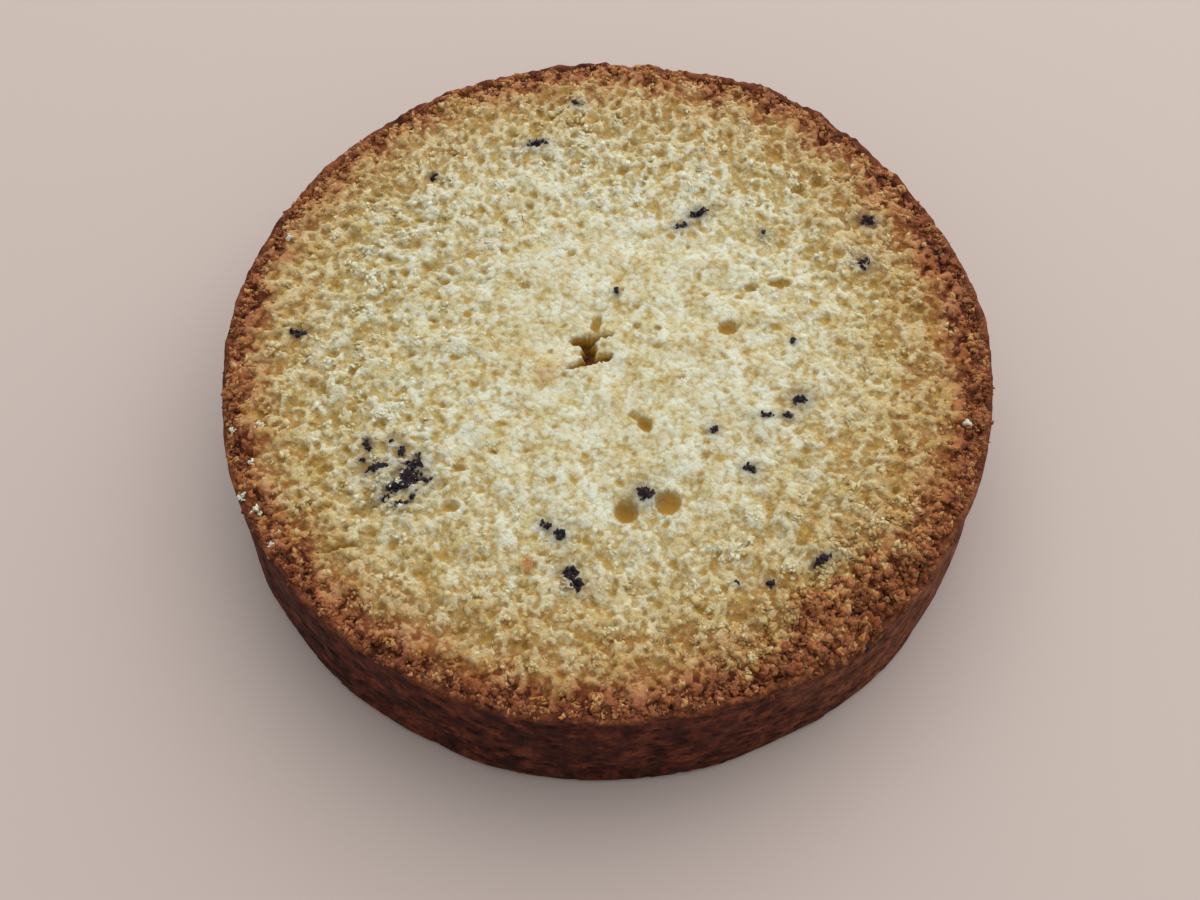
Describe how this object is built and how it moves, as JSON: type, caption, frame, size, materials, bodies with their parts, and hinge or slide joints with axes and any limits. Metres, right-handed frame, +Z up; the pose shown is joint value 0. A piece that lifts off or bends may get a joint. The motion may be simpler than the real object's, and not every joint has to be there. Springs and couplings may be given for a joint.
{
  "type": "cookies and cream sponge cake layer",
  "caption": "Round one-layer sponge cake with crushed chocolate cookies baked in, its top cut level, its wall a browned crust, standing on its flat base.",
  "frame": {"origin": "centre of the outer box at the flat base", "axes": "+Z up through the cut top; +Y away from the side that the picture is taken from, +X to that view's right"},
  "size_m": [0.1986, 0.1996, 0.0429],
  "materials": {
    "crumb": "matte open sponge crumb, pale yellow on the cut, with a browned crust on the wall and base and black cookie pieces"
  },
  "bodies": {
    "root": {"cake": "crumb"}
  },
  "joints": []
}
